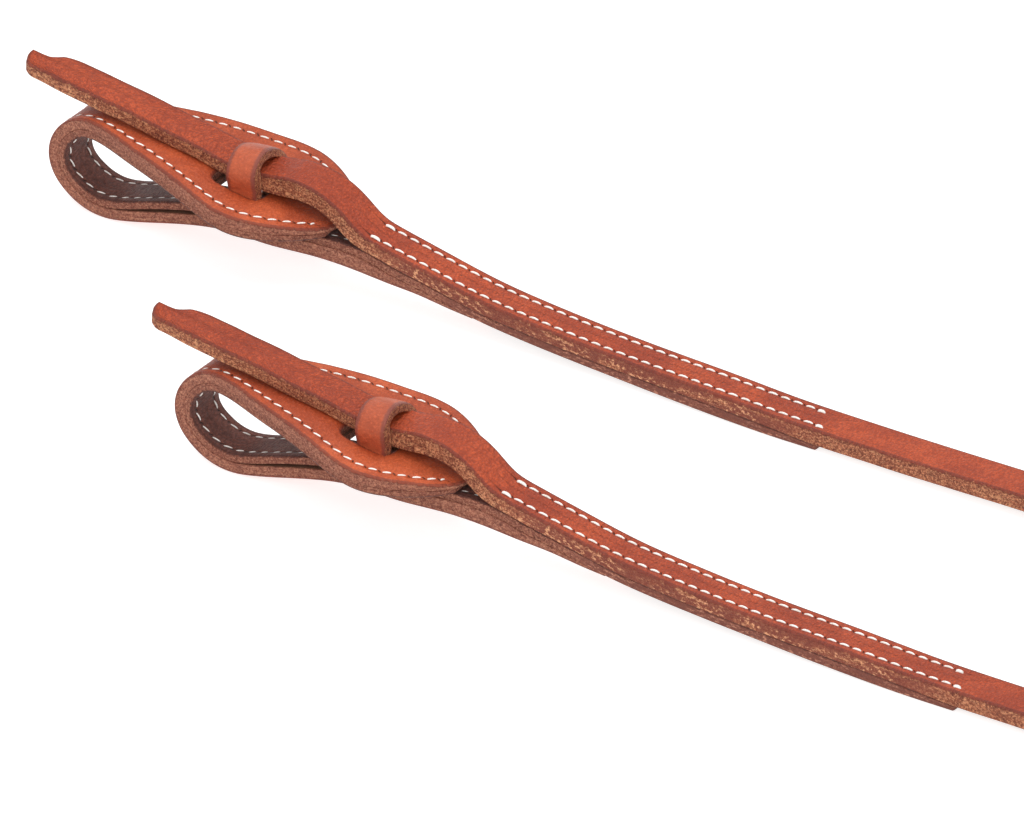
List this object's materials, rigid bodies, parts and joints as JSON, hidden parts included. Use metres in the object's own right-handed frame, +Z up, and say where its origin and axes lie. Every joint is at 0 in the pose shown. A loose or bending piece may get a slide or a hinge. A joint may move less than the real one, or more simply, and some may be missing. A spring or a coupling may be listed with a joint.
{
  "type": "leather reins",
  "caption": "Pair of split leather reins with stitched quick-change bit loops, each locked by a tongue through a raised keeper, the free length coiled.",
  "frame": {"origin": "on the surface that the reins lie on, under the middle of the two bit ends and the straight starts of the reins", "axes": "+X along both reins from the bit loops towards the coiled ends, +Y across from rein 2 to rein 1, +Z up"},
  "size_m": [0.8547, 0.1772, 0.049],
  "materials": {
    "rein_leather": "waxed russet harness leather with rough brown cut edges",
    "loop_leather": "waxed russet harness leather with rough brown cut edges",
    "lining_leather": "darker russet lining leather, smooth inside",
    "keeper_leather": "waxed russet leather, burnished edges",
    "tie_leather": "thin dark brown leather",
    "thread": "waxed white polyester thread"
  },
  "bodies": {
    "tail_end_1": {"rein_tail_1": "rein_leather", "free_rein_1": "rein_leather", "coil_1": "rein_leather", "coil_tie_1": "tie_leather"},
    "bit_end_1": {"rein_strap_1": "rein_leather", "bit_loop_1": "loop_leather", "lining_1": "lining_leather", "keeper_1": "keeper_leather", "sewn_thread_near_1": "thread", "sewn_thread_far_1": "thread", "edge_thread_near_1": "thread", "edge_thread_far_1": "thread", "keeper_thread_1": "thread"},
    "tongue_end_1": {"tongue_1": "rein_leather"},
    "tail_end_2": {"rein_tail_2": "rein_leather", "free_rein_2": "rein_leather", "coil_2": "rein_leather", "coil_tie_2": "tie_leather"},
    "bit_end_2": {"rein_strap_2": "rein_leather", "bit_loop_2": "loop_leather", "lining_2": "lining_leather", "keeper_2": "keeper_leather", "sewn_thread_near_2": "thread", "sewn_thread_far_2": "thread", "edge_thread_near_2": "thread", "edge_thread_far_2": "thread", "keeper_thread_2": "thread"},
    "tongue_end_2": {"tongue_2": "rein_leather"}
  },
  "joints": [
    {"name": "rein_1_bend", "type": "hinge", "parent": "tail_end_1", "child": "bit_end_1", "pos_m": [0.0815, 0.0617, 0.00537], "axis": [0, 1, 0], "range_deg": [0, 60]},
    {"name": "tongue_1_flex", "type": "hinge", "parent": "bit_end_1", "child": "tongue_end_1", "pos_m": [-0.1843, 0.0617, 0.0331], "axis": [0, 1, 0], "range_deg": [0, 35], "stiffness_Nm_per_rad": 0.3},
    {"name": "rein_2_lift", "type": "slide", "parent": "tail_end_1", "child": "tail_end_2", "axis": [0, 0, 1], "range_m": [0, 0.3]},
    {"name": "rein_2_bend", "type": "hinge", "parent": "tail_end_2", "child": "bit_end_2", "pos_m": [0.2157, -0.0617, 0.00537], "axis": [0, 1, 0], "range_deg": [0, 60]},
    {"name": "tongue_2_flex", "type": "hinge", "parent": "bit_end_2", "child": "tongue_end_2", "pos_m": [-0.0501, -0.0617, 0.0331], "axis": [0, 1, 0], "range_deg": [0, 35], "stiffness_Nm_per_rad": 0.3}
  ]
}
